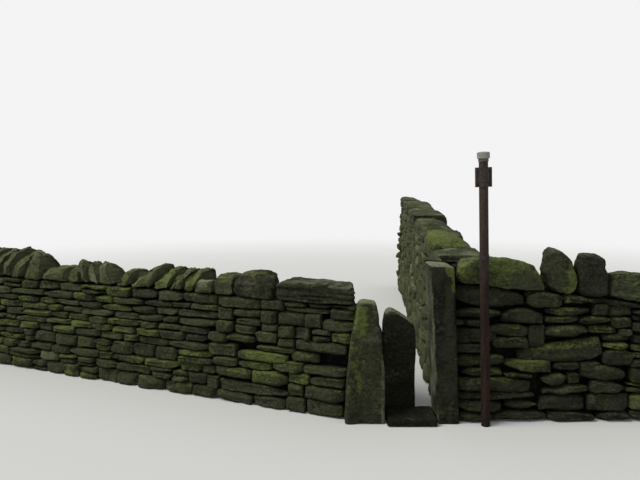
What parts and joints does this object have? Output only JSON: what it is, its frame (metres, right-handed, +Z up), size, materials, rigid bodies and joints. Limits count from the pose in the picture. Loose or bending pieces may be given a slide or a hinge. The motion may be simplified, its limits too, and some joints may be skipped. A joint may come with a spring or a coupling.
{
  "type": "stone wall stile",
  "caption": "Squeeze stile of upright stones in a dry stone wall, with the lengths of coped wall that meet at it and a leaning steel pole.",
  "frame": {"origin": "on the ground under the inner jamb stone, in the middle of the stile", "axes": "+X to the right along the road, +Y away from the road into the field, +Z up"},
  "size_m": [6.6494, 5.803, 1.9916],
  "materials": {
    "dressed_gritstone": "matte",
    "jamb_gritstone": "matte",
    "walling_gritstone": "matte",
    "hearting": "matte",
    "mossy_cope_gritstone": "matte",
    "rusty_tube": "matte",
    "rusty_iron": "matte",
    "grey_cap": "matte"
  },
  "bodies": {
    "root": {"field_cope_flags_far": "mossy_cope_gritstone", "field_cope_flags_mid": "mossy_cope_gritstone", "field_cope_flags_near": "mossy_cope_gritstone", "field_corner_flag": "mossy_cope_gritstone", "field_wall_far_face": "walling_gritstone", "field_wall_far_head": "walling_gritstone", "field_wall_hearting": "hearting", "field_wall_path_face": "walling_gritstone", "gatepost_stone": "dressed_gritstone", "inner_jamb_stone": "jamb_gritstone", "left_boulder_cope_1": "mossy_cope_gritstone", "left_boulder_cope_2": "mossy_cope_gritstone", "left_jamb_stone": "jamb_gritstone", "left_leaning_copes_far": "mossy_cope_gritstone", "left_leaning_copes_mid": "mossy_cope_gritstone", "left_leaning_copes_near": "mossy_cope_gritstone", "left_long_cope": "mossy_cope_gritstone", "left_wall_far_head": "walling_gritstone", "left_wall_field_face": "walling_gritstone", "left_wall_hearting": "hearting", "left_wall_road_face": "walling_gritstone", "left_wall_stile_head": "walling_gritstone", "right_end_cope": "mossy_cope_gritstone", "right_flat_cope": "mossy_cope_gritstone", "right_long_cope": "mossy_cope_gritstone", "right_upright_cope_1": "mossy_cope_gritstone", "right_upright_cope_2": "mossy_cope_gritstone", "right_wall_far_head": "walling_gritstone", "right_wall_field_face": "walling_gritstone", "right_wall_hearting": "hearting", "right_wall_road_face": "walling_gritstone", "signpole_cap": "grey_cap", "signpole_clamp_back": "rusty_iron", "signpole_clamp_bolts": "rusty_iron", "signpole_clamp_front": "rusty_iron", "signpole_strap": "rusty_iron", "signpole_tube": "rusty_tube", "threshold_stone": "jamb_gritstone"}
  },
  "joints": []
}
